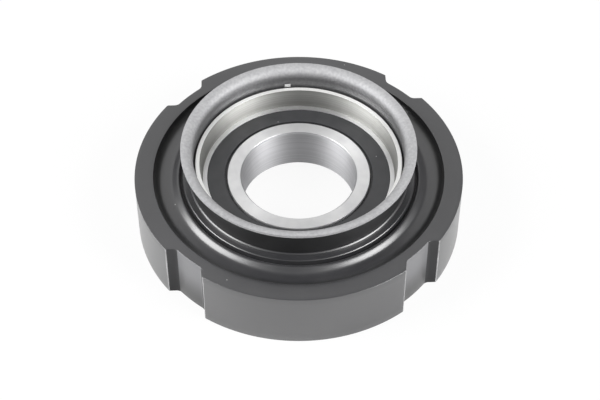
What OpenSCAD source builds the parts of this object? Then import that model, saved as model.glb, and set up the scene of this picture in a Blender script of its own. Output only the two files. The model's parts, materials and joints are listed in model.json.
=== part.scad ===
// Driveshaft centre bearing. A sealed ball bearing sits in a flared steel sleeve,
// and the sleeve hangs in a lobed rubber ring that a bracket on the floor pan holds.
// Sizes are in millimetres. The shaft axis is Z and the rubber ring stands on Z = 0.

/* [Bearing] */
// Diameter of the shaft bore
bore_d = 50; // [44:0.5:54]
// Outside diameter of the bearing
bearing_d = 90; // [84:0.5:98]
// Diameter of the balls
ball_d = 12.7; // [11:0.1:13.5]
// Depth of the raceway in each ring
race_depth = 2.6; // [2:0.1:3]
// How much larger the radius of the raceways is than the ball's
race_ease = 0.25; // [0.1:0.05:0.5]
// Chamfer on the edges of the bore
bore_chamfer = 0.6; // [0.3:0.1:1.2]
// Chamfer on the outside edges of the outer ring
outer_chamfer = 1; // [0.5:0.1:1.5]
// Small chamfer on the shoulders of the inner ring
shoulder_chamfer = 0.25; // [0.1:0.05:0.5]

/* [Seals] */
// How far each seal's face lies below the face of the rings
seal_sink = 0.3; // [0.1:0.1:0.6]
// Chamfer on the outer edge of each seal's face
seal_chamfer = 0.3; // [0.1:0.05:0.5]
// Radial width of the ledge that each seal's edge rests on
seal_ledge = 1.25; // [0.9:0.05:1.5]
// Thickness of each seal's disc
seal_t = 1.5; // [1.1:0.1:2]
// How much deeper each seal's edge reaches than its disc
seal_edge = 0.5; // [0.2:0.1:0.7]
// Radial width of the thin lip beside the inner ring
seal_lip_w = 0.9; // [0.5:0.1:2]
// How far the lip's face lies below the disc's face
seal_lip_drop = 0.9; // [0.3:0.1:1]
// Radial reach of the bead that snaps into the outer ring
seal_bead = 0.5; // [0.2:0.1:0.7]
// Height of the bead
seal_bead_h = 0.8; // [0.5:0.1:1]

/* [Retaining ring] */
// Height of the retaining ring
ring_h = 9; // [7:0.5:11]
// Wall of the retaining ring at its top
ring_top_t = 2; // [1.5:0.1:2.5]
// Extra wall of the retaining ring at its foot
ring_taper = 1.15; // [0.4:0.05:1.4]
// Chamfer on the outside edges of the retaining ring
ring_chamfer = 0.35; // [0.2:0.05:0.6]
// How far the retaining ring stands up into the wider mouth of the sleeve
ring_stand = 1; // [0.6:0.1:2]

/* [Sleeve] */
// Thickness of the sleeve's sheet steel
sheet_t = 1.2; // [0.8:0.1:1.6]
// Height of the sleeve's bottom over the foot of the rubber ring
sleeve_z = 4.3; // [3:0.1:6]
// Radial width of the seat that the bearing stands on
seat_w = 4; // [3:0.1:5]
// Bend radius at the foot of the sleeve
seat_bend = 1; // [0.5:0.1:1.2]
// How much wider the mouth of the sleeve is than its seat
mouth_relief = 0.7; // [0.4:0.1:1]
// Thickness of the rounded stakes that hold the retaining ring down
stake_d = 1.6; // [1.2:0.1:2]
// Width of each stake along the wall
stake_w = 2.6; // [1.6:0.1:5]
// How far each stake stands in from the mouth's wall
stake_in = 0.9; // [0.5:0.05:1.2]
// Gap between each stake and the top of the retaining ring
stake_gap = 0.1; // [0:0.05:0.4]
// Number of stakes around the mouth
stake_count = 3; // [2:1:6]
// Turn of the first stake from the +X lobe, in degrees
stake_turn = 94; // [0:1:119]
// Height of the sleeve's wall over the retaining ring
mouth_h = 9.4; // [8:0.1:12]
// Bend radius of the flared lip
flare_r = 4; // [3:0.1:5]
// Flat width at the edge of the lip
lip_flat = 1.1; // [0.5:0.1:2]

/* [Rubber ring] */
// Height of the rubber ring
rim_h = 28; // [26:0.5:30]
// Radial width of the flat top of the rim
rim_top_w = 8.2; // [7:0.1:9]
// Radial width of the foot of the rim
rim_foot_w = 10.7; // [9:0.1:12]
// Rounding on the outer edges of the rim
rim_round = 0.4; // [0.2:0.1:1.5]
// Rounding on the inner edge of the rim's top
rim_inner_round = 0.4; // [0.2:0.1:1]
// Width of the recesses between the lobes, measured across their mouths
recess_w = 21.7; // [14:0.1:28]
// Depth of the recesses between the lobes
recess_depth = 3.7; // [2:0.1:4.5]
// Fillet in the corners of the recesses
recess_fillet = 2; // [0.8:0.1:2.5]

/* [Rubber fold] */
// Width of the fold between the collar and the rim
fold_w = 9.6; // [8:0.1:11]
// Wall thickness of the fold over its channel
fold_t = 2.6; // [2:0.1:3.2]
// Gap between the fold and the rim
rim_gap = 2.1; // [1.6:0.1:3]
// Gap between the fold and the collar
collar_gap = 1; // [0.9:0.1:2]
// How far the fold's ridge lies below the rim's top
ridge_drop = 1.4; // [0.8:0.1:2]
// Radius of the ridge along the fold's inner edge
ridge_r = 1; // [0.8:0.1:1.6]
// Slope from the ridge down to the shelf, in degrees
ridge_slope = 38; // [30:1:45]
// How far the fold's flat shelf lies below the rim's top
shelf_drop = 3.3; // [2.8:0.1:3.8]
// Rounding on the outer edge of the shelf
shelf_round = 0.3; // [0.2:0.1:1]
// How far the floors of the grooves lie below the rim's top
groove_drop = 5.4; // [5:0.1:6.5]
// Bevel in the bottom corners of each groove
groove_bevel = 0.4; // [0.2:0.05:0.45]
// Width of the channel under the fold
channel_w = 4.1; // [3:0.1:5]
// Straight height of the channel under the fold
channel_h = 4; // [2:0.5:8]

/* [Rubber collar] */
// Radial width of the collar around the sleeve
collar_w = 4.4; // [3.8:0.1:4.8]
// How far the collar's flat ledge lies below the rim's top
collar_drop = 0.3; // [0.2:0.1:1.4]
// Height of the step from the ledge up to the skin on the sleeve
collar_rise = 1.2; // [0.8:0.1:2.2]
// How far the step stands out from the skin
collar_step = 0.65; // [0.4:0.05:1]
// Rounding on the edges of the ledge and the step
collar_round = 0.6; // [0.2:0.05:0.65]
// Thickness of the rubber skin on the mouth of the sleeve
skin_t = 0.4; // [0.3:0.1:1]
// Thickness of the rubber at the foot of the sleeve
skin_foot_t = 1.6; // [1:0.1:2.5]

/* [Cage] */
// Thickness of the cage's sheet steel
cage_t = 1; // [0.7:0.1:1.2]
// Radial width of the cage
cage_w = 5; // [4:0.1:5.4]
// Diameter of the rivets
rivet_d = 2; // [1.6:0.1:2.4]
// Diameter of the rivet heads
rivet_head_d = 3.8; // [3.2:0.1:4]
// Height of the rivet heads
rivet_head_h = 0.9; // [0.6:0.1:1.2]

/* [Fits] */
// Gap between a ball and each raceway
ball_gap = 0.05; // [0.02:0.01:0.1]
// Gap between a ball and its cage pocket
pocket_gap = 0.1; // [0.05:0.01:0.15]
// Gap between a seal's lip and the inner ring
seal_gap = 0.3; // [0.2:0.05:0.4]
// Gap between the cage and a seal
cage_gap = 0.75; // [0.4:0.05:1.5]

/* [Hidden] */
$fn = 96;
// Each ball has a name of its own in NODES, so their number is fixed
ball_count = 10;
// Spare length of a cutting shape past a face
past = 1;
// How far a flat face cuts into the ridge's round, so that the two meet at an edge
seam = 0.04;

// Bearing, from the bore and the outside diameter
bore_r = bore_d / 2;
bearing_r = bearing_d / 2;
pitch_r = (bore_r + bearing_r) / 2;
ball_r = ball_d / 2;
race_r = ball_r + race_ease;
pocket_r = ball_r + pocket_gap;
cage_top = pocket_r + cage_t;
bearing_w = 2 * (cage_top + cage_gap + seal_t + seal_sink);
inner_race_c = pitch_r - ball_r - ball_gap + race_r;
outer_race_c = pitch_r + ball_r + ball_gap - race_r;
inner_shoulder_r = pitch_r - ball_r + race_depth;
outer_shoulder_r = pitch_r + ball_r - race_depth;
bearing_z0 = sleeve_z + sheet_t;
bearing_zm = bearing_z0 + bearing_w / 2;
bearing_z1 = bearing_z0 + bearing_w;

// Seals
seal_depth = seal_sink + seal_t + seal_edge;
seal_seat_r = outer_shoulder_r + seal_ledge;
seal_in_r = inner_shoulder_r + seal_gap;

// Retaining ring
ring_z1 = bearing_z1 + ring_h;
ring_top_r = bearing_r - ring_top_t;
ring_foot_r = ring_top_r - ring_taper;

// Sleeve
sleeve_out_r = bearing_r + sheet_t;
mouth_r = bearing_r + mouth_relief;
mouth_out_r = mouth_r + sheet_t;
joggle_z1 = ring_z1 - ring_stand;
joggle_z0 = joggle_z1 - 2 * mouth_relief;
lip_z = ring_z1 + mouth_h;
flare_z = lip_z - flare_r;
flare_c = mouth_r + flare_r;
lip_r = flare_c + lip_flat;

// Rubber collar, then the fold, then the rim, each outside the other
skin_r = mouth_out_r + skin_t;
skin_foot_r = sleeve_out_r + skin_foot_t;
collar_step_r = skin_r + collar_step;
collar_r = sleeve_out_r + collar_w;
collar_z = rim_h - collar_drop;
collar_step_z = collar_z + collar_rise;
fold_in_r = collar_r + collar_gap;
fold_end_r = fold_in_r + fold_w;
ridge_c = fold_in_r + ridge_r - seam;
ridge_z = rim_h - ridge_drop - ridge_r;
shelf_z = rim_h - shelf_drop;
groove_z = rim_h - groove_drop;
channel_r = channel_w / 2;
channel_c = (fold_in_r + fold_end_r) / 2;
channel_z = shelf_z - fold_t - channel_r;
channel_knee_z = channel_z - channel_h;
rim_in_r = fold_end_r + rim_gap;
rim_r = rim_in_r + rim_top_w;
foot_in_r = rim_r - rim_foot_w;
recess_r = rim_r - recess_depth;
lobe_half_w = rim_r * sin(45 - asin(recess_w / 2 / rim_r));

// Cage
cage_in_r = pitch_r - cage_w / 2;
cage_out_r = pitch_r + cage_w / 2;

// The waste outside a rounded corner at the origin, with material towards -X and -Y
module corner_waste(r) {
    difference() {
        translate([-r, -r])
            square(r + past);
        translate([-r, -r])
            circle(r);
    }
}

// A plain tube that stands on Z = 0
module tube(inner, outer, height) {
    rotate_extrude()
        translate([inner, 0])
            square([outer - inner, height]);
}

// Repeats its children at every ball, or halfway between two balls
module around(half_step = 0) {
    for (i = [0 : ball_count - 1])
        rotate([0, 0, (i + half_step) * 360 / ball_count])
            translate([pitch_r, 0, 0])
                children();
}

// Everything inside the outer surface of the sleeve
module sleeve_envelope() {
    polygon([[0, -past], [sleeve_out_r, -past], [sleeve_out_r, joggle_z0], [mouth_out_r, joggle_z1],
        [mouth_out_r, lip_z + past], [0, lip_z + past]]);
}

// Open space over the fold: the groove beside the collar, the ridge, its slope down to the shelf,
// and the groove beside the rim
module fold_space() {
    slope_r = ridge_c + (ridge_r - seam) * sin(ridge_slope);
    slope_z = ridge_z + (ridge_r - seam) * cos(ridge_slope);
    slope_run = (slope_z - shelf_z) / tan(ridge_slope);
    difference() {
        polygon([[collar_r, lip_z], [collar_r, groove_z + groove_bevel], [collar_r + groove_bevel, groove_z],
            [fold_in_r - groove_bevel, groove_z], [fold_in_r, groove_z + groove_bevel], [fold_in_r, ridge_z],
            [ridge_c, ridge_z], [slope_r, slope_z], [slope_r + slope_run, shelf_z], [fold_end_r, shelf_z],
            [fold_end_r, groove_z + groove_bevel], [fold_end_r + groove_bevel, groove_z],
            [rim_in_r - groove_bevel, groove_z], [rim_in_r, groove_z + groove_bevel], [rim_in_r, lip_z]]);
        translate([ridge_c, ridge_z])
            circle(ridge_r);
    }
    translate([fold_end_r, shelf_z])
        corner_waste(shelf_round);
}

// Open space over the collar's ledge and the step behind it, with their edges rounded
module collar_space() {
    polygon([[0, collar_step_z], [collar_step_r, collar_step_z], [collar_step_r, collar_z],
        [collar_r + collar_gap / 2, collar_z], [collar_r + collar_gap / 2, lip_z], [0, lip_z]]);
    translate([collar_step_r, collar_step_z])
        corner_waste(collar_round);
    translate([collar_r, collar_z])
        corner_waste(collar_round);
}

// Half section of the rubber, without the recesses
module rubber_section() {
    difference() {
        union() {
            difference() {
                translate([sleeve_out_r - past, 0])
                    square([rim_r - sleeve_out_r + past, max(rim_h, collar_step_z)]);
                translate([collar_r + collar_gap / 2, rim_h])
                    square([rim_r, lip_z]);
                fold_space();
                collar_space();
            }
            // Skin on the mouth of the sleeve, up to the flare
            polygon([[sleeve_out_r - past, collar_z - past], [skin_r, collar_z - past],
                [skin_r, flare_z - skin_t], [mouth_out_r, flare_z], [sleeve_out_r - past, flare_z]]);
        }
        sleeve_envelope();
        // Rounded edges of the rim
        translate([rim_r, rim_h])
            corner_waste(rim_round);
        translate([rim_r, 0])
            mirror([0, 1])
                corner_waste(rim_round);
        translate([rim_in_r, rim_h])
            mirror([1, 0])
                corner_waste(rim_inner_round);
        // Channel under the fold and the hollow below the sleeve
        translate([channel_c, channel_z])
            circle(channel_r);
        polygon([[channel_c - channel_r, channel_z], [channel_c + channel_r, channel_z],
            [channel_c + channel_r, channel_knee_z], [foot_in_r, 0], [foot_in_r, -past], [0, -past],
            [0, sleeve_z], [skin_foot_r, sleeve_z], [channel_c - channel_r, channel_knee_z]]);
    }
}

// Filler in one corner of a recess, between its floor and the side wall of a lobe
module recess_corner() {
    c_y = lobe_half_w + recess_fillet;
    reach = recess_r + recess_fillet;
    c_x = sqrt(reach * reach - c_y * c_y);
    inner = (recess_r - past) / reach;
    difference() {
        polygon([[c_x, c_y], [c_x * inner, c_y * inner], [c_x * inner, lobe_half_w - past],
            [c_x, lobe_half_w - past]]);
        translate([c_x, c_y])
            circle(recess_fillet);
    }
}

// Plan of one recess, between the lobes on +X and +Y
module recess_plan() {
    difference() {
        translate([lobe_half_w, lobe_half_w])
            square(rim_r);
        circle(recess_r);
        recess_corner();
        mirror([1, -1])
            recess_corner();
    }
}

module rubber_mount() {
    color([0.16, 0.16, 0.17])
        difference() {
            rotate_extrude()
                rubber_section();
            for (a = [0 : 90 : 270])
                rotate([0, 0, a])
                    translate([0, 0, -past])
                        linear_extrude(height = rim_h + 2 * past)
                            recess_plan();
        }
}

// Half section of the sleeve: seat, wall, joggle and mouth, then the flare and its flat edge
module sleeve_section() {
    difference() {
        polygon([[bearing_r - seat_w, sleeve_z], [sleeve_out_r, sleeve_z], [sleeve_out_r, joggle_z0],
            [mouth_out_r, joggle_z1], [mouth_out_r, flare_z], [mouth_r, flare_z], [mouth_r, joggle_z1],
            [bearing_r, joggle_z0], [bearing_r, bearing_z0], [bearing_r - seat_w, bearing_z0]]);
        translate([sleeve_out_r, sleeve_z])
            mirror([0, 1])
                corner_waste(seat_bend);
    }
    translate([flare_c, flare_z])
        intersection() {
            difference() {
                circle(flare_r);
                circle(flare_r - sheet_t);
            }
            translate([-flare_r - past, 0])
                square(flare_r + past);
        }
    translate([flare_c, lip_z - sheet_t])
        square([lip_flat, sheet_t]);
}

// A stake punched in from the wall of the mouth: a short round bead that follows the wall
module stake() {
    intersection() {
        rotate_extrude()
            translate([mouth_r - stake_in + stake_d / 2, ring_z1 + stake_gap + stake_d / 2])
                circle(d = stake_d);
        translate([mouth_r - stake_in - past, -stake_w / 2, ring_z1 - past])
            cube([stake_in + past + sheet_t, stake_w, stake_d + 3 * past]);
    }
}

module inner_sleeve() {
    color([0.78, 0.78, 0.79])
        union() {
            rotate_extrude()
                sleeve_section();
            for (i = [0 : stake_count - 1])
                rotate([0, 0, stake_turn + i * 360 / stake_count])
                    stake();
        }
}

module retaining_ring() {
    color([0.72, 0.72, 0.71])
        rotate_extrude()
            polygon([[ring_foot_r, bearing_z1], [bearing_r - ring_chamfer, bearing_z1],
                [bearing_r, bearing_z1 + ring_chamfer], [bearing_r, ring_z1 - ring_chamfer],
                [bearing_r - ring_chamfer, ring_z1], [ring_top_r, ring_z1]]);
}

// Half section of the snap bead and its groove, for the upper seal
module bead_section() {
    translate([seal_seat_r - past, bearing_z1 - seal_depth + seal_bead_h / 2])
        square([seal_bead + past, seal_bead_h]);
}

// Half section of one seal recess with its bead groove
module seal_recess() {
    translate([outer_shoulder_r - past, bearing_z1 - seal_depth])
        square([seal_seat_r - outer_shoulder_r + past, seal_depth + past]);
    bead_section();
}

// Mirrors its children to the other side of the bearing's middle plane
module other_side() {
    translate([0, 2 * bearing_zm])
        mirror([0, 1])
            children();
}

module bearing_outer_ring() {
    color([0.80, 0.80, 0.81])
        rotate_extrude()
            difference() {
                polygon([[outer_shoulder_r, bearing_z0], [bearing_r - outer_chamfer, bearing_z0],
                    [bearing_r, bearing_z0 + outer_chamfer], [bearing_r, bearing_z1 - outer_chamfer],
                    [bearing_r - outer_chamfer, bearing_z1], [outer_shoulder_r, bearing_z1]]);
                translate([outer_race_c, bearing_zm])
                    circle(race_r);
                seal_recess();
                other_side()
                    seal_recess();
            }
}

module bearing_inner_ring() {
    color([0.84, 0.84, 0.85])
        rotate_extrude()
            difference() {
                polygon([[bore_r + bore_chamfer, bearing_z0],
                    [inner_shoulder_r - shoulder_chamfer, bearing_z0],
                    [inner_shoulder_r, bearing_z0 + shoulder_chamfer],
                    [inner_shoulder_r, bearing_z1 - shoulder_chamfer],
                    [inner_shoulder_r - shoulder_chamfer, bearing_z1], [bore_r + bore_chamfer, bearing_z1],
                    [bore_r, bearing_z1 - bore_chamfer], [bore_r, bearing_z0 + bore_chamfer]]);
                translate([inner_race_c, bearing_zm])
                    circle(race_r);
            }
}

// Half section of the upper seal: snap edge with its bead, flat disc and sunk lip
module seal_section() {
    face_z = bearing_z1 - seal_sink;
    foot_z = bearing_z1 - seal_depth;
    bead_section();
    polygon([[outer_shoulder_r, foot_z], [seal_seat_r, foot_z], [seal_seat_r, face_z - seal_chamfer],
        [seal_seat_r - seal_chamfer, face_z], [seal_in_r + seal_lip_w, face_z],
        [seal_in_r + seal_lip_w, face_z - seal_lip_drop], [seal_in_r, face_z - seal_lip_drop],
        [seal_in_r, face_z - seal_t], [outer_shoulder_r, face_z - seal_t]]);
}

module upper_seal() {
    color([0.30, 0.30, 0.31])
        rotate_extrude()
            seal_section();
}

module lower_seal() {
    color([0.30, 0.30, 0.31])
        rotate_extrude()
            other_side()
                seal_section();
}

// One pressed half of the cage, standing on the bearing's middle plane
module cage_half() {
    intersection() {
        tube(cage_in_r, cage_out_r, cage_top + past);
        difference() {
            union() {
                cylinder(r = cage_out_r + past, h = cage_t);
                around()
                    sphere(pocket_r + cage_t);
            }
            around()
                sphere(pocket_r);
            around(0.5)
                translate([0, 0, -past])
                    cylinder(d = rivet_d, h = cage_t + 2 * past);
        }
    }
}

module cage_upper_half() {
    color([0.66, 0.65, 0.62])
        translate([0, 0, bearing_zm])
            cage_half();
}

module cage_lower_half() {
    color([0.66, 0.65, 0.62])
        translate([0, 0, bearing_zm])
            mirror([0, 0, 1])
                cage_half();
}

module cage_rivets() {
    color([0.70, 0.68, 0.64])
        translate([0, 0, bearing_zm])
            around(0.5)
                union() {
                    translate([0, 0, -cage_t])
                        cylinder(d = rivet_d, h = 2 * cage_t);
                    translate([0, 0, cage_t])
                        cylinder(d1 = rivet_head_d, d2 = rivet_d, h = rivet_head_h);
                    translate([0, 0, -cage_t - rivet_head_h])
                        cylinder(d1 = rivet_d, d2 = rivet_head_d, h = rivet_head_h);
                }
}

module ball(i) {
    color([0.88, 0.88, 0.89])
        rotate([0, 0, (i - 1) * 360 / ball_count])
            translate([pitch_r, 0, bearing_zm])
                sphere(ball_r);
}

rubber_mount();
inner_sleeve();
retaining_ring();
bearing_outer_ring();
bearing_inner_ring();
upper_seal();
lower_seal();
cage_upper_half();
cage_lower_half();
cage_rivets();
ball(1);  // ball_1
ball(2);  // ball_2
ball(3);  // ball_3
ball(4);  // ball_4
ball(5);  // ball_5
ball(6);  // ball_6
ball(7);  // ball_7
ball(8);  // ball_8
ball(9);  // ball_9
ball(10);  // ball_10
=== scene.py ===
"""Looks of a driveshaft centre bearing: a sealed ball bearing in a flared steel sleeve,
held in a lobed ring of moulded rubber. The rings, seals, sleeve and balls are the CAD solids
with their real finishes, and the soft rubber ring is modelled here. Blender's lengths are in
metres, and the sizes of the object below are in millimetres.
"""

import json
import math

import bmesh
import bpy
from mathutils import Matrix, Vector


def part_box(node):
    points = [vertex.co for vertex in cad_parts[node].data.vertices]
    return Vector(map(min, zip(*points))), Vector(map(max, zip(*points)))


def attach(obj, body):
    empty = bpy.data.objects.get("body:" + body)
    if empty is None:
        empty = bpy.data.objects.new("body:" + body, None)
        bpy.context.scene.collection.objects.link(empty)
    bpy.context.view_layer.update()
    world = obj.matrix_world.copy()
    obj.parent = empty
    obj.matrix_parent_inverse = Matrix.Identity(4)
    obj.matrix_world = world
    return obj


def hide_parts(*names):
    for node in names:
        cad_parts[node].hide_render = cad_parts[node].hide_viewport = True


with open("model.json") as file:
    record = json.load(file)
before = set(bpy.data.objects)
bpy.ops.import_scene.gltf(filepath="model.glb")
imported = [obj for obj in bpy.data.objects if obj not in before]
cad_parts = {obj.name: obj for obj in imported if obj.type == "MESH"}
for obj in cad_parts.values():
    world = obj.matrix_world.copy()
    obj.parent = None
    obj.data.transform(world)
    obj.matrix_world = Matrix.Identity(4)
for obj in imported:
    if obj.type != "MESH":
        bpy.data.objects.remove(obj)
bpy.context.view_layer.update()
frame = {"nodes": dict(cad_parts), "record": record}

MM = 0.001

# Camera, from the ellipses of the lip, the rim and the bearing in the photograph: degrees and metres
VIEW_AZIMUTH = -92.4
VIEW_ELEVATION = 48.76
VIEW_DISTANCE = 0.720
VIEW_AIM = Vector((0.0002, -0.0086, 0.0183))
VIEW_LENS = 98.83
VIEW_SENSOR = 36.0

# White studio in metres: the table lies just under the rubber, and the shares say how much of
# the white the camera and mirroring surfaces see
TABLE_SIZE = 8.0
TABLE_Z = -0.0002
TABLE_TO_CAMERA = 0.92
TABLE_TO_MIRRORS = 0.3
ROOM_TO_CAMERA = 1.0
ROOM_TO_MIRRORS = 0.15
ROOM_LIGHT = 0.1

# Ball bearing: its middle plane, half its width, and how far from its ends the faces and chamfers begin
BEARING_LOW, BEARING_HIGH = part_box("bearing_inner_ring")
BEARING_MID_Z = (BEARING_LOW.z + BEARING_HIGH.z) / 2 / MM
BEARING_HALF_W = (BEARING_HIGH.z - BEARING_LOW.z) / 2 / MM
FACE_START = 0.1
FACE_END = 0.05
CHAMFER_START = 0.7
CHAMFER_END = 0.6

# Retaining ring: its top, how far below it the land painted white as a highlight begins, and where the
# painted shade on the wall's foot fades out
RING_TOP_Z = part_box("retaining_ring")[1].z / MM
LAND_START = 0.15
LAND_END = 0.05
FOOT_SHADE_LOW_Z = 26.0
FOOT_SHADE_HIGH_Z = 32.5

# Sleeve: where the satin fades down the flare, and the radius inside which the stakes stand, painted bright
# as a highlight
SATIN_LOW_Z = 38.5
SATIN_HIGH_Z = 43.4
STAKE_R = 45.6
STAKE_FADE = 0.1

# Rubber ring: the rim with its lobes
LOBES = 4
RIM_R = 71.5
RIM_IN_R = 63.3
RIM_FOOT_R = 60.8
RIM_H = 28.0
RIM_ROUND = 0.22
RIM_INNER_ROUND = 0.25
RECESS_R = 67.8
RECESS_FILLET = 3.2
LOBE_HALF_W = 42.27
LOBE_ROUND = 0.7

# Rubber ring: the channel under the fold, the collar and the skin on the sleeve
FOLD_CHANNEL_IN_R = 54.35
FOLD_CHANNEL_OUT_R = 58.45
FOLD_CHANNEL_Z = 20.05
FOLD_KNEE_Z = 16.05
COLLAR_R = 50.6
COLLAR_Z = 27.7
COLLAR_BEVEL = 0.25
STEP_R = 47.95
STEP_Z = 28.9
STEP_BEVEL = 0.42
SKIN_R = 47.3
SKIN_LIMIT_R = 47.5
SKIN_TOP_Z = 39.5
SKIN_FOOT_R = 47.8
SLEEVE_R = 46.2
SLEEVE_Z = 4.3
MOUTH_R = 46.9
JOGGLE_Z0 = 32.1
JOGGLE_Z1 = 33.5
FLARE_Z = 39.9

# Rubber ring: the fold's curve from the rim inwards, as points (radius, height)
HOLLOW_POINTS = [(RIM_IN_R, 27.5), (62.9, 26.6), (62.15, 25.85), (61.25, 25.25), (60.3, 24.88)]
SHELF_POINTS = [(59.2, 24.72), (58.0, 24.72), (56.3, 24.8)]
RIDGE_POINTS = [(55.3, 25.03), (54.5, 25.5), (53.7, 26.1), (53.1, 26.47), (52.55, 26.6), (52.0, 26.38)]
GROOVE_POINTS = [(51.62, 25.7), (51.4, 24.9), (51.1, 24.6), (50.8, 24.9), (50.63, 25.6), (COLLAR_R, 26.4)]
FOLD_POINTS = HOLLOW_POINTS + SHELF_POINTS + RIDGE_POINTS + GROOVE_POINTS

# Rubber ring: edges sharper than this stay sharp, in degrees
SHARP_EDGE = 32

# Rubber finishes: painted shade in the hollow beside the rim, and painted light and shade on the recess
# floors, grey at the top and black at the bottom
RUBBER_IOR = 1.52
HOLLOW_SHADE_IN_R = 59.4
HOLLOW_SHADE_OUT_R = 63.5
FLOOR_SHADE_LOW_Z = 5.0
FLOOR_SHADE_HIGH_Z = 20.0
FLOOR_SHADE_DRIFT = 3.0

# Rubber faces: an upright one leans less than the first share, a lobe's edge turns outwards by more
# than the second, and a floor or a lobe's own face by more than the third
UPRIGHT_LEAN = 0.3
EDGE_FACING = 0.62
FLOOR_FACING = 0.97


def linear(hex_colour):
    """sRGB hex to a linear colour with alpha."""
    values = [int(hex_colour[i:i + 2], 16) / 255 for i in (1, 3, 5)]
    return [v / 12.92 if v <= 0.04045 else ((v + 0.055) / 1.055) ** 2.4 for v in values] + [1.0]


def grey(value):
    """A linear grey with alpha."""
    return [value, value, value, 1.0]


def shades(dark, pale, start=0.3, end=0.7):
    """Two stops of a colour ramp, set where most values of a noise lie."""
    return [(start, linear(dark)), (end, linear(pale))]


def add(tree, kind, inputs=None, stops=(), **settings):
    """Adds a node with its settings, then sets or links its inputs and fills the stops of a colour ramp.
    An input takes a value, a socket, or a node, which stands for its first output in use."""
    node = tree.nodes.new(kind)
    for name, value in settings.items():
        setattr(node, name, value)
    for socket, value in (inputs or {}).items():
        if isinstance(value, bpy.types.Node):
            value = next(output for output in value.outputs if output.enabled)
        if isinstance(value, bpy.types.NodeSocket):
            tree.links.new(value, node.inputs[socket])
        else:
            node.inputs[socket].default_value = value
    if stops:
        elements = node.color_ramp.elements
        while len(elements) < len(stops):
            elements.new(0.5)
        for element, (position, colour) in zip(elements, stops):
            element.position = position
            element.color = colour
    return node


def blank(name):
    """A new material without a shader, its node tree and its Object coordinates."""
    material = bpy.data.materials.new(name)
    material.use_nodes = True
    tree = material.node_tree
    tree.nodes.clear()
    place = add(tree, "ShaderNodeTexCoord").outputs["Object"]
    return material, tree, place


def shaded(material, inputs):
    """The material, with one principled shader that has these inputs."""
    tree = material.node_tree
    shader = add(tree, "ShaderNodeBsdfPrincipled", inputs)
    add(tree, "ShaderNodeOutputMaterial", {"Surface": shader})
    return material


def radius_and_height(tree, place):
    """Distance from the Z axis, and height."""
    parts = add(tree, "ShaderNodeSeparateXYZ", {"Vector": place})
    flat = add(tree, "ShaderNodeCombineXYZ", {"X": parts.outputs["X"], "Y": parts.outputs["Y"]})
    radius = add(tree, "ShaderNodeVectorMath", {0: flat}, operation="LENGTH")
    return radius, parts.outputs["Z"]


def patches(tree, place, size, colours, roughness, detail=4.0):
    """Colour and roughness of patches that drift over a size, between two shades and two roughnesses."""
    tone = add(tree, "ShaderNodeTexNoise", {"Vector": place, "Scale": 1 / size, "Detail": detail})
    return {
        "Base Color": add(tree, "ShaderNodeValToRGB", {"Fac": tone}, shades(*colours)),
        "Roughness": add(tree, "ShaderNodeMapRange", {
            "Value": tone, "To Min": roughness[0], "To Max": roughness[1]})}


def dusty(tree, place, colour, cell):
    """The colour with specks of pale dust, about 0.4 mm across, one or so to a cell of that size."""
    core = 0.16 * MM
    edge = 0.27 * MM
    specks = add(tree, "ShaderNodeTexVoronoi", {"Vector": place, "Scale": 1 / cell})
    near = add(tree, "ShaderNodeMath", {0: specks, 1: cell}, operation="MULTIPLY")
    dust = add(tree, "ShaderNodeMapRange", {"Value": near, "From Min": edge, "From Max": core})
    return add(tree, "ShaderNodeMix", {"Factor": dust, "A": colour, "B": linear("#b4b4b4")}, data_type="RGBA")


def mould_grain(tree, place, detail, strength):
    """Relief of the mould's grain: 0.1 mm on the real rubber, drawn at 0.5 mm so that it shows."""
    drawn_size = 0.5 * MM
    depth = 0.05 * MM
    grain = add(tree, "ShaderNodeTexNoise", {"Vector": place, "Scale": 1 / drawn_size, "Detail": detail})
    return add(tree, "ShaderNodeBump", {"Height": grain, "Strength": strength, "Distance": depth})


def lathe_lines(tree, place, pitch, strength, depth):
    """Noise that changes only with the radius and the height, so that it draws lines around Z,
    and the relief and tangent that stretch the shine across those lines."""
    radius, height = radius_and_height(tree, place)
    section = add(tree, "ShaderNodeCombineXYZ", {"X": radius, "Y": height})
    lines = add(tree, "ShaderNodeTexNoise", {"Vector": section, "Scale": 1 / pitch, "Detail": 3.0})
    return lines, {
        "Normal": add(tree, "ShaderNodeBump", {"Height": lines, "Strength": strength, "Distance": depth}),
        "Tangent": add(tree, "ShaderNodeTangent", direction_type="RADIAL", axis="Z")}


def moulded_rubber():
    """Natural rubber from a polished mould: near black under a waxy bloom that shines at low angles."""
    material, tree, place = blank("moulded_rubber")
    bloom = patches(tree, place, size=18 * MM, colours=("#1f1f22", "#29292b"), roughness=(0.34, 0.44))
    # Painted shade in the hollow beside the rim: only a tenth of the colour is left there
    radius, _ = radius_and_height(tree, place)
    across = add(tree, "ShaderNodeMapRange", {
        "Value": radius, "From Min": HOLLOW_SHADE_IN_R * MM, "From Max": HOLLOW_SHADE_OUT_R * MM})
    hollow_shade = add(tree, "ShaderNodeValToRGB", {"Fac": across}, [
        (0.0, grey(1.0)), (0.45, grey(0.1)), (0.94, grey(0.1)), (1.0, grey(1.0))])
    deep = add(tree, "ShaderNodeMix", {"Factor": 1.0, "A": bloom["Base Color"], "B": hollow_shade},
               data_type="RGBA", blend_type="MULTIPLY")
    return shaded(material, bloom | {
        "Base Color": dusty(tree, place, deep, cell=9 * MM),
        "Normal": mould_grain(tree, place, detail=3.0, strength=0.25),
        "IOR": RUBBER_IOR, "Specular IOR Level": 0.8,
        "Coat Weight": 0.9, "Coat Roughness": 0.28,
        "Sheen Weight": 0.14, "Sheen Roughness": 0.4})


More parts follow.
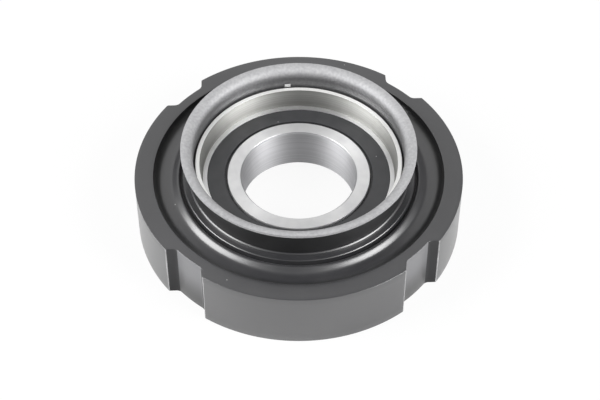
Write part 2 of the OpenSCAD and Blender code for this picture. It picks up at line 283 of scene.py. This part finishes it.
def bonded_rubber_skin():
    """The thin skin of rubber on the sleeve: blacker and drier than the ring, with the same grain."""
    material, tree, place = blank("bonded_rubber_skin")
    tone = patches(tree, place, size=10 * MM, colours=("#161617", "#1e1e1f"), roughness=(0.42, 0.52))
    return shaded(material, tone | {
        "Normal": mould_grain(tree, place, detail=3.0, strength=0.25),
        "IOR": RUBBER_IOR, "Specular IOR Level": 0.6})


def recess_wall_shaded_rubber():
    """Side walls of the recesses: painted shade, a blacker and less shiny rubber than the ring."""
    material, tree, place = blank("recess_wall_shaded_rubber")
    tone = patches(tree, place, size=8 * MM, colours=("#1c1c1e", "#252527"), roughness=(0.44, 0.54))
    return shaded(material, tone | {"IOR": RUBBER_IOR, "Specular IOR Level": 0.5})


def recess_floor_shaded_rubber():
    """Floors of the recesses: painted light and shade, black near the table and turning grey towards the top.
    """
    material, tree, place = blank("recess_floor_shaded_rubber")
    _, height = radius_and_height(tree, place)
    # The edge of the painted shade wanders up and down over 6 mm
    tone = add(tree, "ShaderNodeTexNoise", {"Vector": place, "Scale": 1 / (6 * MM), "Detail": 4.0})
    drift = add(tree, "ShaderNodeMapRange", {
        "Value": tone, "To Min": -FLOOR_SHADE_DRIFT * MM, "To Max": FLOOR_SHADE_DRIFT * MM})
    level = add(tree, "ShaderNodeMath", {0: height, 1: drift}, operation="ADD")
    rise = add(tree, "ShaderNodeMapRange", {
        "Value": level, "From Min": FLOOR_SHADE_LOW_Z * MM, "From Max": FLOOR_SHADE_HIGH_Z * MM},
        interpolation_type="SMOOTHSTEP")
    return shaded(material, {
        "Base Color": add(tree, "ShaderNodeValToRGB", {"Fac": rise}, shades("#161618", "#5c5c5f", 0.0, 1.0)),
        "Roughness": add(tree, "ShaderNodeMapRange", {"Value": tone, "To Min": 0.36, "To Max": 0.46}),
        "IOR": RUBBER_IOR, "Specular IOR Level": 0.8,
        "Coat Weight": 0.9, "Coat Roughness": 0.34})


def lobe_edge_highlight_rubber():
    """Rounded upright edges of the lobes: pale grey, a painted highlight where they catch the lamps."""
    material, tree, place = blank("lobe_edge_highlight_rubber")
    # The painted highlight comes and goes every 5 mm along the edge
    painted_edge_highlight = patches(
        tree, place, size=5 * MM, colours=("#7a7a7b", "#b0b0b1"), roughness=(0.45, 0.6), detail=3.0)
    return shaded(material, painted_edge_highlight | {"IOR": RUBBER_IOR, "Specular IOR Level": 0.8})


def seal_rubber():
    """Nitrile rubber moulded on a steel disc: matte, dark grey, with a fine grain."""
    material, tree, place = blank("seal_rubber")
    tone = patches(
        tree, place, size=6 * MM, colours=("#303133", "#3a3a3c"), roughness=(0.36, 0.46), detail=5.0)
    return shaded(material, tone | {
        "Base Color": dusty(tree, place, tone["Base Color"], cell=7 * MM),
        "Normal": mould_grain(tree, place, detail=2.0, strength=0.3),
        "IOR": RUBBER_IOR, "Specular IOR Level": 0.6})


def drawn_sheet_steel():
    """Deep-drawn sheet steel: a pale satin lip, a darker and smoother wall, and a painted highlight where it
    was staked.
    """
    material, tree, place = blank("drawn_sheet_steel")
    # The satin's grain, 0.2 mm, is drawn at 1.2 mm so that it shows
    grain = add(tree, "ShaderNodeTexNoise", {"Vector": place, "Scale": 1 / (1.2 * MM), "Detail": 4.0})
    pale = add(tree, "ShaderNodeValToRGB", {"Fac": grain}, shades("#9d9d9f", "#b0b0b1"))
    dark = add(tree, "ShaderNodeValToRGB", {"Fac": grain}, shades("#6c6c6e", "#7a7a7b"))
    # The satin fades out down the flare
    radius, height = radius_and_height(tree, place)
    satin = add(tree, "ShaderNodeMapRange", {
        "Value": height, "From Min": SATIN_LOW_Z * MM, "From Max": SATIN_HIGH_Z * MM},
        interpolation_type="SMOOTHSTEP")
    wall = add(tree, "ShaderNodeMix", {"Factor": satin, "A": dark, "B": pale}, data_type="RGBA")
    # Metal moved by the punch stands inside the wall of the mouth, above the retaining ring; it is painted
    # pale there, the fresh metal together with a painted highlight of its glint
    staked = add(tree, "ShaderNodeMapRange", {
        "Value": radius, "From Min": STAKE_R * MM, "From Max": (STAKE_R - STAKE_FADE) * MM})
    above = add(tree, "ShaderNodeMath", {0: height, 1: RING_TOP_Z * MM}, operation="GREATER_THAN")
    stake_highlight = add(tree, "ShaderNodeMath", {0: staked, 1: above}, operation="MULTIPLY")
    return shaded(material, {
        "Base Color": add(tree, "ShaderNodeMix", {
            "Factor": stake_highlight, "A": wall, "B": linear("#d4d4d4")}, data_type="RGBA"),
        "Metallic": add(tree, "ShaderNodeMapRange", {"Value": satin, "To Min": 0.75, "To Max": 0.4}),
        "Roughness": add(tree, "ShaderNodeMapRange", {"Value": satin, "To Min": 0.42, "To Max": 0.63}),
        "Normal": add(tree, "ShaderNodeBump", {"Height": grain, "Strength": 0.2, "Distance": 0.05 * MM})})


def turned_steel():
    """Steel ring turned on a lathe: fine lines around it, painted shade towards the foot of its wall, and a
    land faced off at the top that is painted white as a highlight.
    """
    material, tree, place = blank("turned_steel")
    # Feed marks of 0.1 mm are drawn at 0.5 mm so that they show
    lines, relief = lathe_lines(tree, place, pitch=0.5 * MM, strength=0.2, depth=0.02 * MM)
    upper = add(tree, "ShaderNodeValToRGB", {"Fac": lines}, shades("#a4a4a1", "#b8b8b5", 0.35, 0.65))
    shaded_foot = add(tree, "ShaderNodeValToRGB", {"Fac": lines}, shades("#868683", "#979794", 0.35, 0.65))
    # Painted shade: the wall is darker towards its foot, where shade falls
    _, height = radius_and_height(tree, place)
    rise = add(tree, "ShaderNodeMapRange", {
        "Value": height, "From Min": FOOT_SHADE_LOW_Z * MM, "From Max": FOOT_SHADE_HIGH_Z * MM},
        interpolation_type="SMOOTHSTEP")
    wall = add(tree, "ShaderNodeMix", {"Factor": rise, "A": shaded_foot, "B": upper}, data_type="RGBA")
    # The land, the top 0.1 mm of the ring, is smoother from the facing tool, and painted white as a highlight
    land = add(tree, "ShaderNodeMapRange", {
        "Value": height,
        "From Min": (RING_TOP_Z - LAND_START) * MM, "From Max": (RING_TOP_Z - LAND_END) * MM})
    smoother = -0.2
    satin = add(tree, "ShaderNodeMapRange", {"Value": lines, "To Min": 0.52, "To Max": 0.64})
    return shaded(material, relief | {
        "Base Color": add(tree, "ShaderNodeMix", {
            "Factor": land, "A": wall, "B": linear("#fafaf8")}, data_type="RGBA"),
        "Metallic": add(tree, "ShaderNodeMapRange", {"Value": land, "To Min": 1.0, "To Max": 0.5}),
        "Roughness": add(tree, "ShaderNodeMath", {0: land, 1: smoother, 2: satin}, operation="MULTIPLY_ADD"),
        "Anisotropic": 0.75, "Anisotropic Rotation": 0.25})


def ground_bearing_steel():
    """Through-hardened bearing steel: a satin bore with fine lines around it, and paler ground faces."""
    material, tree, place = blank("ground_bearing_steel")
    # Grinding lines of 0.02 mm are drawn at 0.35 mm so that they show
    lines, relief = lathe_lines(tree, place, pitch=0.35 * MM, strength=0.15, depth=0.01 * MM)
    stain = add(tree, "ShaderNodeTexNoise", {"Vector": place, "Scale": 1 / (7 * MM), "Detail": 4.0})
    bore = add(tree, "ShaderNodeValToRGB", {"Fac": lines}, shades("#b4b4b6", "#c6c6c8"))
    faces = add(tree, "ShaderNodeValToRGB", {"Fac": stain}, shades("#dcdcdd", "#ececec"))
    # The faces, the first and the last 0.1 mm of the bearing's width, are ground smoother
    _, height = radius_and_height(tree, place)
    above = add(tree, "ShaderNodeMath", {0: height, 1: BEARING_MID_Z * MM}, operation="SUBTRACT")
    away = add(tree, "ShaderNodeMath", {0: above}, operation="ABSOLUTE")
    face = add(tree, "ShaderNodeMapRange", {
        "Value": away,
        "From Min": (BEARING_HALF_W - FACE_START) * MM, "From Max": (BEARING_HALF_W - FACE_END) * MM})
    smoother = -0.45
    # The chamfers, 0.6 mm high, are only turned, so they are rougher than the bore and the faces
    chamfer = add(tree, "ShaderNodeMapRange", {
        "Value": away,
        "From Min": (BEARING_HALF_W - CHAMFER_START) * MM, "From Max": (BEARING_HALF_W - CHAMFER_END) * MM})
    rougher = 0.25
    satin = add(tree, "ShaderNodeMapRange", {"Value": stain, "To Min": 0.5, "To Max": 0.6})
    dull = add(tree, "ShaderNodeMath", {0: chamfer, 1: rougher, 2: satin}, operation="MULTIPLY_ADD")
    return shaded(material, relief | {
        "Base Color": add(tree, "ShaderNodeMix", {"Factor": face, "A": bore, "B": faces}, data_type="RGBA"),
        "Metallic": add(tree, "ShaderNodeMapRange", {"Value": face, "To Min": 1.0, "To Max": 0.85}),
        "Roughness": add(tree, "ShaderNodeMath", {0: face, 1: smoother, 2: dull}, operation="MULTIPLY_ADD"),
        "Anisotropic": 0.8, "Anisotropic Rotation": 0.25})


def pressed_cage_steel():
    """Cold-rolled strip pressed to shape: dull grey with a slight warm oil tint."""
    material, tree, place = blank("pressed_cage_steel")
    tone = patches(tree, place, size=3 * MM, colours=("#97948e", "#b1aea8"), roughness=(0.32, 0.45))
    return shaded(material, tone | {"Metallic": 1.0})


def lapped_ball_steel():
    """Lapped bearing balls: mirror bright under a thin film of grease."""
    material, tree, place = blank("lapped_ball_steel")
    film = patches(
        tree, place, size=4 * MM, colours=("#d8d8d9", "#e2e2e2"), roughness=(0.05, 0.12), detail=2.0)
    return shaded(material, film | {"Metallic": 1.0, "Coat Weight": 0.2})


def arc(centre_r, centre_z, radius, start, end, steps):
    """Points (r, z) along an arc; angles in degrees, 0 outwards and 90 up."""
    points = []
    for i in range(steps + 1):
        angle = math.radians(start + (end - start) * i / steps)
        points.append((centre_r + radius * math.cos(angle), centre_z + radius * math.sin(angle)))
    return points


def line(start, end, steps):
    """Points between two corners, without the first and the last."""
    return [(start[0] + (end[0] - start[0]) * i / steps, start[1] + (end[1] - start[1]) * i / steps)
            for i in range(1, steps)]


def between(a, b, c, d, share):
    """A value that is a share of the way from b to c, on a soft curve through all four."""
    slope = (c - a) * share
    bend = (2 * a - 5 * b + 4 * c - d) * share * share
    turn = (3 * b - a - 3 * c + d) * share ** 3
    return 0.5 * (2 * b + slope + bend + turn)


def smooth_through(points, steps):
    """A soft curve through the points, as a moulder's template would run."""
    curve = []
    padded = [points[0]] + points + [points[-1]]
    for p0, p1, p2, p3 in zip(padded, padded[1:], padded[2:], padded[3:]):
        for i in range(steps):
            curve.append(tuple(between(a, b, c, d, i / steps) for a, b, c, d in zip(p0, p1, p2, p3)))
    return curve + [points[-1]]


def rubber_section(outer_r):
    """Closed section (r, z) of the rubber in millimetres, with the rim's outer face at outer_r."""
    rim = [(RIM_FOOT_R, 0.0)] + line((RIM_FOOT_R, 0.0), (outer_r - RIM_ROUND, 0.0), steps=5)
    rim += arc(outer_r - RIM_ROUND, RIM_ROUND, RIM_ROUND, -90, 0, steps=5)
    rim += line((outer_r, RIM_ROUND), (outer_r, RIM_H - RIM_ROUND), steps=8)
    rim += arc(outer_r - RIM_ROUND, RIM_H - RIM_ROUND, RIM_ROUND, 0, 90, steps=5)
    rim += line((outer_r - RIM_ROUND, RIM_H), (RIM_IN_R + RIM_INNER_ROUND, RIM_H), steps=5)
    rim += arc(RIM_IN_R + RIM_INNER_ROUND, RIM_H - RIM_INNER_ROUND, RIM_INNER_ROUND, 90, 180, steps=4)
    # The hollow beside the rim, the shelf, the slope up to the ridge, and the groove beside the collar
    fold = smooth_through(FOLD_POINTS, steps=4)
    # The flat ledge of the collar, the riser behind it and the skin on the sleeve
    collar = [(COLLAR_R, COLLAR_Z - COLLAR_BEVEL), (COLLAR_R - COLLAR_BEVEL, COLLAR_Z)]
    collar += line(collar[-1], (STEP_R, COLLAR_Z), steps=3) + [(STEP_R, COLLAR_Z)]
    collar += [(STEP_R, STEP_Z - STEP_BEVEL), (STEP_R - STEP_BEVEL, STEP_Z)]
    skin = [(SKIN_R, STEP_Z)] + line((SKIN_R, STEP_Z), (SKIN_R, SKIN_TOP_Z), steps=4)
    skin += [(SKIN_R, SKIN_TOP_Z), (MOUTH_R, FLARE_Z), (MOUTH_R, JOGGLE_Z1), (SLEEVE_R, JOGGLE_Z0)]
    # The bond to the sleeve, and the channel under the fold
    bond = line((SLEEVE_R, JOGGLE_Z0), (SLEEVE_R, SLEEVE_Z), steps=6)
    bond += [(SLEEVE_R, SLEEVE_Z), (SKIN_FOOT_R, SLEEVE_Z)]
    channel_r = (FOLD_CHANNEL_IN_R + FOLD_CHANNEL_OUT_R) / 2
    channel = line((SKIN_FOOT_R, SLEEVE_Z), (FOLD_CHANNEL_IN_R, FOLD_KNEE_Z), steps=5)
    channel += [(FOLD_CHANNEL_IN_R, FOLD_KNEE_Z)]
    channel += arc(channel_r, FOLD_CHANNEL_Z, channel_r - FOLD_CHANNEL_IN_R, 180, 0, steps=12)
    channel += [(FOLD_CHANNEL_OUT_R, FOLD_KNEE_Z)]
    channel += line((FOLD_CHANNEL_OUT_R, FOLD_KNEE_Z), (RIM_FOOT_R, 0.0), steps=6)
    return rim + fold + collar + skin + bond + channel


def lobe_outline():
    """Polar points (angle, radius) around the lobes and recesses, starting in the middle of a lobe."""
    lobe_turn = math.tau / LOBES
    recess_middle = 180 / LOBES
    edge_x = math.sqrt((RIM_R - LOBE_ROUND) ** 2 - (LOBE_HALF_W - LOBE_ROUND) ** 2)
    fillet_y = LOBE_HALF_W + RECESS_FILLET
    fillet_x = math.sqrt((RECESS_R + RECESS_FILLET) ** 2 - fillet_y ** 2)
    lobe_end = math.degrees(math.atan2(LOBE_HALF_W - LOBE_ROUND, edge_x))
    floor_start = math.degrees(math.atan2(fillet_y, fillet_x))
    # Half a lobe: its face, rounded edge and side wall, then the fillet and half the floor of the recess
    points = arc(0, 0, RIM_R, 0, lobe_end, steps=30)
    points += arc(edge_x, LOBE_HALF_W - LOBE_ROUND, LOBE_ROUND, lobe_end, 90, steps=5)[1:]
    points += line((edge_x, LOBE_HALF_W), (fillet_x, LOBE_HALF_W), steps=3)
    points += arc(fillet_x, fillet_y, RECESS_FILLET, -90, floor_start - 180, steps=6)
    points += arc(0, 0, RECESS_R, floor_start, recess_middle, steps=5)[1:]
    half = [(math.atan2(y, x), math.hypot(x, y)) for x, y in points]
    whole = half + [(lobe_turn - a, r) for a, r in reversed(half[1:-1])]
    return [(a + i * lobe_turn, r) for i in range(LOBES) for a, r in whole]


def rubber_ring():
    """The soft ring, laid up column by column so that every wall and roll is a clean quad strip."""
    mesh = bpy.data.meshes.new("rubber_ring")
    shape = bmesh.new()
    columns = []
    for angle, radius in lobe_outline():
        x = math.cos(angle) * MM
        y = math.sin(angle) * MM
        columns.append([shape.verts.new((r * x, r * y, z * MM)) for r, z in rubber_section(radius)])
    for column, following in zip(columns, columns[1:] + columns[:1]):
        for i in range(len(column)):
            j = (i + 1) % len(column)
            shape.faces.new((column[i], following[i], following[j], column[j]))
    bmesh.ops.recalc_face_normals(shape, faces=shape.faces)
    shape.to_mesh(mesh)
    shape.free()
    ring = bpy.data.objects.new("rubber_ring", mesh)
    bpy.context.collection.objects.link(ring)
    bpy.ops.object.select_all(action="DESELECT")
    ring.select_set(True)
    bpy.context.view_layer.objects.active = ring
    bpy.ops.object.shade_smooth_by_angle(angle=math.radians(SHARP_EDGE))
    return ring


def rubber_of(face):
    """Which rubber a face of the ring shows, by its place and the way it faces; lobes lie along X and Y."""
    x, y, z = face.center
    radius = math.hypot(x, y)
    outwards = (face.normal.x * x + face.normal.y * y) / radius
    if radius < SKIN_LIMIT_R * MM and z > STEP_Z * MM:
        return "skin"
    if abs(face.normal.z) >= UPRIGHT_LEAN or radius <= RIM_IN_R * MM:
        return "moulded"
    on_lobe = radius > (RIM_R - LOBE_ROUND) * MM
    at_edge = min(abs(x), abs(y)) > (LOBE_HALF_W - LOBE_ROUND) * MM
    # Rounded lobe edges take the pale rubber, as a painted highlight
    if on_lobe and at_edge and outwards > EDGE_FACING:
        return "highlit_edge"
    # Recess side walls take the blacker rubber, as painted shade
    if 0 < outwards < FLOOR_FACING:
        return "shaded_wall"
    # Recess floors take the rubber with painted light and shade
    if not on_lobe and outwards > FLOOR_FACING:
        return "shaded_floor"
    return "moulded"


def aimed(name, data, azimuth, elevation, distance):
    """A lamp or camera that looks at the bearing; azimuth counts from +X towards +Y, in degrees."""
    turn = math.radians(azimuth)
    rise = math.radians(elevation)
    away = Vector((math.cos(rise) * math.cos(turn), math.cos(rise) * math.sin(turn), math.sin(rise)))
    aimed_object = bpy.data.objects.new(name, data)
    bpy.context.collection.objects.link(aimed_object)
    aimed_object.location = VIEW_AIM + away * distance
    aimed_object.rotation_euler = away.to_track_quat("Z", "Y").to_euler()
    return aimed_object


def softbox(name, azimuth, elevation, distance, size, power):
    """A rectangular lamp, of a width and height in metres and a power in watts."""
    lamp = bpy.data.lights.new(name, "AREA")
    lamp.shape = "RECTANGLE"
    lamp.size, lamp.size_y = size
    lamp.energy = power
    aimed(name, lamp, azimuth, elevation, distance)


def whiteness(tree, to_camera, to_mirrors):
    """Share of plain white that a ray sees: the background is white with no more light on the object."""
    path = add(tree, "ShaderNodeLightPath")
    bounced = add(tree, "ShaderNodeMath", {
        0: path.outputs["Is Glossy Ray"], 1: path.outputs["Is Transmission Ray"]}, operation="MAXIMUM")
    mirrored = add(tree, "ShaderNodeMath", {0: bounced, 1: to_mirrors}, operation="MULTIPLY")
    seen = add(tree, "ShaderNodeMath", {0: path.outputs["Is Camera Ray"], 1: to_camera}, operation="MULTIPLY")
    return add(tree, "ShaderNodeMath", {0: seen, 1: mirrored}, operation="MAXIMUM")


def white_table():
    """Seamless white table: seen as white, and still keeps a faint shadow of the object."""
    material, tree, place = blank("white_table")
    # Paint that is faintly uneven over 40 mm
    tone = add(tree, "ShaderNodeTexNoise", {"Vector": place, "Scale": 1 / (40 * MM)})
    colour = add(tree, "ShaderNodeValToRGB", {"Fac": tone}, [(0.0, grey(0.72)), (1.0, grey(0.74))])
    paint = add(tree, "ShaderNodeBsdfPrincipled", {"Base Color": colour, "Roughness": 0.8})
    white = add(tree, "ShaderNodeEmission", {"Color": grey(1.0), "Strength": 1.0})
    share = whiteness(tree, TABLE_TO_CAMERA, TABLE_TO_MIRRORS)
    mix = add(tree, "ShaderNodeMixShader", {0: share, 1: paint, 2: white})
    add(tree, "ShaderNodeOutputMaterial", {"Surface": mix})
    return material


def white_room():
    """World of the studio: white behind the object, and only a dim even light on it."""
    world = bpy.data.worlds.new("studio")
    world.use_nodes = True
    tree = world.node_tree
    tree.nodes.clear()
    dim = add(tree, "ShaderNodeBackground", {"Color": grey(1.0), "Strength": ROOM_LIGHT})
    white = add(tree, "ShaderNodeBackground", {"Color": grey(1.0), "Strength": 1.0})
    share = whiteness(tree, ROOM_TO_CAMERA, ROOM_TO_MIRRORS)
    mix = add(tree, "ShaderNodeMixShader", {0: share, 1: dim, 2: white})
    add(tree, "ShaderNodeOutputWorld", {"Surface": mix})
    return world


# The CAD solids take their finishes by the record's material slots
FINISHES = {
    "moulded_rubber": moulded_rubber(),
    "sleeve_sheet": drawn_sheet_steel(),
    "turned_steel": turned_steel(),
    "bearing_steel": ground_bearing_steel(),
    "seal_rubber": seal_rubber(),
    "cage_sheet": pressed_cage_steel(),
    "ball_steel": lapped_ball_steel(),
}
for part in frame["record"]["subparts"]:
    for material_slot in frame["nodes"][part["node"]].material_slots:
        material_slot.material = FINISHES[part["material_slot"]]

# The soft ring replaces its plain solid, with a rubber for each kind of face
RUBBERS = {
    "moulded": FINISHES["moulded_rubber"],
    "skin": bonded_rubber_skin(),
    "highlit_edge": lobe_edge_highlight_rubber(),
    "shaded_wall": recess_wall_shaded_rubber(),
    "shaded_floor": recess_floor_shaded_rubber(),
}
ring = rubber_ring()
for rubber in RUBBERS.values():
    ring.data.materials.append(rubber)
for face in ring.data.polygons:
    face.material_index = list(RUBBERS).index(rubber_of(face))
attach(ring, "mount")
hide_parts("rubber_mount")

# Two softboxes light the ring from the sides, and a large dim panel lights its flat faces from behind
softbox("lamp_left", azimuth=189, elevation=34, distance=1.1, size=(0.78, 0.75), power=17.6)
softbox("lamp_right", azimuth=332, elevation=34, distance=1.1, size=(0.68, 0.75), power=17.2)
softbox("panel_back", azimuth=102, elevation=45, distance=1.4, size=(1.5, 1.0), power=3.3)

# The table, the room and the camera
bpy.ops.object.select_all(action="DESELECT")
bpy.ops.mesh.primitive_plane_add(size=TABLE_SIZE, location=(0, 0, TABLE_Z))
floor = bpy.context.active_object
floor.name = "table"
floor.data.materials.append(white_table())
bpy.context.scene.world = white_room()

camera_data = bpy.data.cameras.new("camera")
camera_data.sensor_width = VIEW_SENSOR
camera_data.lens = VIEW_LENS
bpy.context.scene.camera = aimed("camera", camera_data, VIEW_AZIMUTH, VIEW_ELEVATION, VIEW_DISTANCE)
bpy.context.scene.view_settings.view_transform = "Standard"
